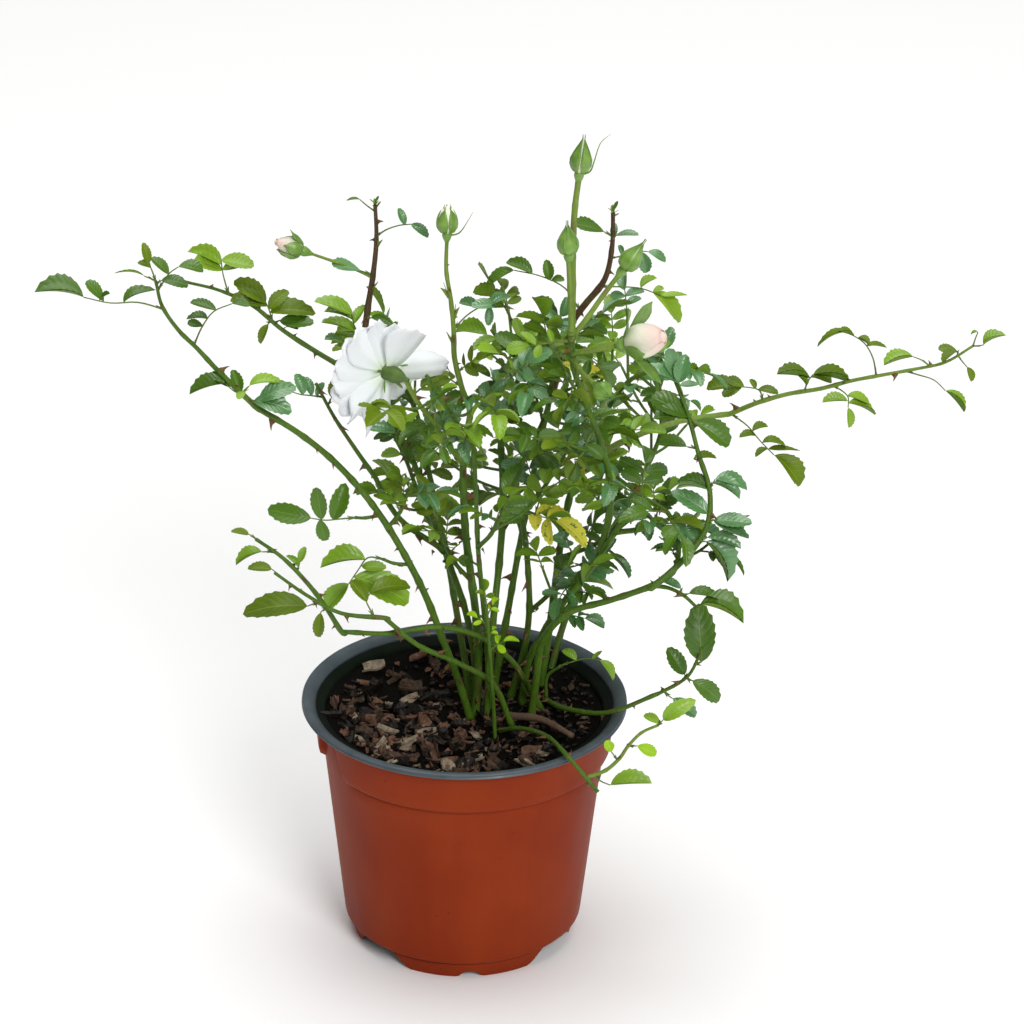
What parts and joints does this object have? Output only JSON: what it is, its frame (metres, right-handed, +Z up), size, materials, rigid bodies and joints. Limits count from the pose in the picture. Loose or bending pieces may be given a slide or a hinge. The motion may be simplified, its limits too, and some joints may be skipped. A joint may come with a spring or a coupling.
{
  "type": "potted rose bush",
  "caption": "Bushy small-leaved rose in a round nursery pot with potting mix: thorny arching canes, airy sprays of leaves, pointed buds and an open white bloom.",
  "frame": {"origin": "middle of the pot's flat underside, on the floor that it stands on", "axes": "+Z up through the pot; +X to the right along the plant's widest spread; +Y to the back, away from the side that the picture shows"},
  "size_m": [0.5377, 0.3254, 0.5254],
  "materials": {
    "pot_plastic": "satin terracotta, dark grey inside and on the lip",
    "potting_mix": "rough, damp, with bark chips",
    "green_bark": "smooth green bark with brown thorns",
    "dead_wood": "dull brown",
    "foliage": "satin leaves and soft petals"
  },
  "bodies": {
    "root": {"bough_left_inner": "green_bark", "bough_long": "green_bark", "cane_back_centre": "green_bark", "cane_back_left": "green_bark", "cane_back_right": "green_bark", "cane_centre_left": "green_bark", "cane_centre_right": "green_bark", "cane_far_left": "green_bark", "cane_front": "green_bark", "cane_hanging": "green_bark", "cane_left_upper": "green_bark", "cane_lower_right": "green_bark", "cane_old": "green_bark", "cane_right_lean": "green_bark", "cane_right_low": "green_bark", "cane_right_tall": "green_bark", "cane_trailing_long": "green_bark", "cane_trailing_low": "green_bark", "dead_stub": "dead_wood", "pot": "pot_plastic", "soil": "potting_mix", "spray_arch_leaf": "foliage", "spray_back_left": "foliage", "spray_back_low_left": "foliage", "spray_back_right": "foliage", "spray_bloom": "foliage", "spray_candelabra": "foliage", "spray_centre": "foliage", "spray_dark_top": "foliage", "spray_far_left": "foliage", "spray_front_left": "foliage", "spray_hanging": "foliage", "spray_left_bud": "foliage", "spray_left_inner": "foliage", "spray_left_leaf": "foliage", "spray_left_mid": "foliage", "spray_left_upper": "foliage", "spray_long": "foliage", "spray_low_back": "foliage", "spray_low_centre": "foliage", "spray_low_front": "foliage", "spray_low_inner": "foliage", "spray_low_lean": "foliage", "spray_low_left": "foliage", "spray_low_right": "foliage", "spray_lower_right": "foliage", "spray_mid_low": "foliage", "spray_new_shoot": "foliage", "spray_old": "foliage", "spray_over_pot": "foliage", "spray_right_branch": "foliage", "spray_right_inner": "foliage", "spray_right_lean": "foliage", "spray_right_low": "foliage", "spray_right_tall": "foliage", "spray_second_bud": "foliage", "spray_trailing_long": "foliage", "spray_trailing_low": "foliage"}
  },
  "joints": []
}
